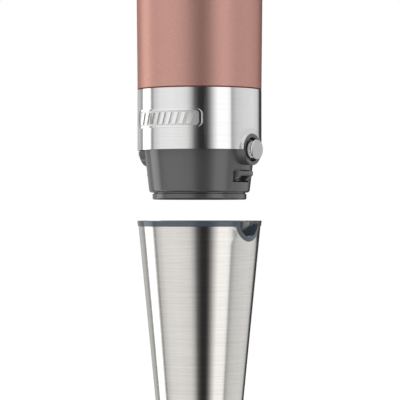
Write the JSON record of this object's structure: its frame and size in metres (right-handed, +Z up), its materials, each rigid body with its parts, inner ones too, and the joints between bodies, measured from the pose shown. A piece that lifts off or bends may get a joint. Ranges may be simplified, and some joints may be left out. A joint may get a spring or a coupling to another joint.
{
  "type": "immersion blender",
  "caption": "Hand blender with a motor unit, a steel band and collar, and a steel blending shaft with a guarded blade that clicks onto it.",
  "frame": {"origin": "middle of the blade guard's rim, on the axis of the shaft, with the shaft drawn off the motor unit by 35 mm", "axes": "+Z up the shaft towards the cord inlet, -Y towards the front with the badge and the keys, X through the two release buttons"},
  "size_m": [0.0698, 0.0674, 0.4341],
  "materials": {
    "sleeve_paint": "satin rose metallic paint",
    "band_steel": "brushed round the band",
    "badge_chrome": "polished, with a satin ground",
    "collar_plastic": "fine satin moulding",
    "chassis_plastic": "natural moulding",
    "fastener_steel": "zinc plated",
    "damper_rubber": "matt",
    "motor_steel": "zinc plated steel sheet",
    "magnet": "sintered",
    "inner_plastic": "glass filled moulding",
    "bronze": "sintered bronze",
    "carbon": "pressed carbon",
    "board": "solder resist",
    "component_grey": "moulded and tinned",
    "panel_plastic": "fine grain",
    "cap_plastic": "fine grain",
    "gland_rubber": "matt",
    "spring_steel": "drawn wire",
    "turned_steel": "turned",
    "copper": "enamelled and bare copper",
    "drive_plastic": "moulded",
    "button_steel": "satin face and polished edge",
    "key_plastic": "satin silver",
    "shaft_steel": "brushed round the shaft",
    "liner_plastic": "smooth satin moulding",
    "seal_rubber": "matt",
    "drive_dark": "moulded",
    "blade_steel": "ground, with polished edges"
  },
  "bodies": {
    "motor_unit": {"grip_sleeve": "sleeve_paint", "steel_band": "band_steel", "badge": "badge_chrome", "coupling_collar": "collar_plastic", "chassis_front": "chassis_plastic", "chassis_rear": "chassis_plastic", "chassis_screws": "fastener_steel", "motor_bracket": "chassis_plastic", "bracket_screws": "fastener_steel", "damper_lower": "damper_rubber", "damper_upper": "damper_rubber", "motor_can": "motor_steel", "field_magnets": "magnet", "motor_end_cap": "inner_plastic", "lower_bearing": "bronze", "upper_bearing": "bronze", "carbon_brushes": "carbon", "brush_holders": "bronze", "control_board": "board", "board_parts": "component_grey", "key_switches": "inner_plastic", "speed_pot": "component_grey", "key_panel": "panel_plastic", "top_cap": "cap_plastic", "cord_gland": "gland_rubber", "release_spring_right": "spring_steel", "release_spring_left": "spring_steel"},
    "rotor": {"rotor_shaft": "turned_steel", "armature_core": "motor_steel", "armature_windings": "copper", "commutator": "copper", "cooling_fan": "chassis_plastic", "drive_socket": "drive_plastic"},
    "release_right": {"release_button_right": "button_steel", "release_slider_right": "collar_plastic", "snap_tongue_right": "collar_plastic"},
    "release_left": {"release_button_left": "button_steel", "release_slider_left": "collar_plastic", "snap_tongue_left": "collar_plastic"},
    "power": {"power_key": "key_plastic"},
    "boost": {"boost_key": "cap_plastic"},
    "dial": {"speed_dial": "key_plastic", "pot_spindle": "turned_steel"},
    "shaft_unit": {"shaft_shell": "shaft_steel", "blade_guard": "shaft_steel", "socket_liner": "liner_plastic", "upper_bush": "bronze", "bearing_housing": "turned_steel", "lower_bush": "bronze", "shaft_seal": "seal_rubber"},
    "blade_drive": {"spindle": "turned_steel", "spline_pin": "drive_dark", "retaining_clip": "spring_steel", "blade": "blade_steel", "blade_hub": "turned_steel", "blade_nut": "turned_steel"}
  },
  "joints": [
    {"name": "shaft_pull", "type": "slide", "parent": "motor_unit", "child": "shaft_unit", "axis": [0, 0, 1], "range_m": [0, 0.0347], "deforming": ["snap_tongue_right", "snap_tongue_left"]},
    {"name": "rotor_spin", "type": "hinge", "parent": "motor_unit", "child": "rotor", "pos_m": [0, 0, 0.29], "axis": [0, 0, 1], "continuous": true},
    {"name": "blade_spin", "type": "hinge", "parent": "shaft_unit", "child": "blade_drive", "pos_m": [0, 0, 0.1], "axis": [0, 0, 1], "continuous": true},
    {"name": "release_right_press", "type": "slide", "parent": "motor_unit", "child": "release_right", "axis": [-1, 0, 0], "range_m": [0, 0.003], "stiffness_N_per_m": 800, "deforming": ["release_spring_right"]},
    {"name": "release_left_press", "type": "slide", "parent": "motor_unit", "child": "release_left", "axis": [1, 0, 0], "range_m": [0, 0.003], "stiffness_N_per_m": 800, "deforming": ["release_spring_left"]},
    {"name": "power_press", "type": "slide", "parent": "motor_unit", "child": "power", "axis": [0, 1, 0], "range_m": [0, 0.0015], "stiffness_N_per_m": 600},
    {"name": "boost_press", "type": "slide", "parent": "motor_unit", "child": "boost", "axis": [0, 1, 0], "range_m": [0, 0.0015], "stiffness_N_per_m": 600},
    {"name": "speed_turn", "type": "hinge", "parent": "motor_unit", "child": "dial", "pos_m": [0, -0.01, 0.421], "axis": [0, 0, 1], "range_deg": [0, 270]}
  ],
  "couplings": [
    {"joint": "blade_spin", "follows": "rotor_spin", "ratio": 1}
  ]
}
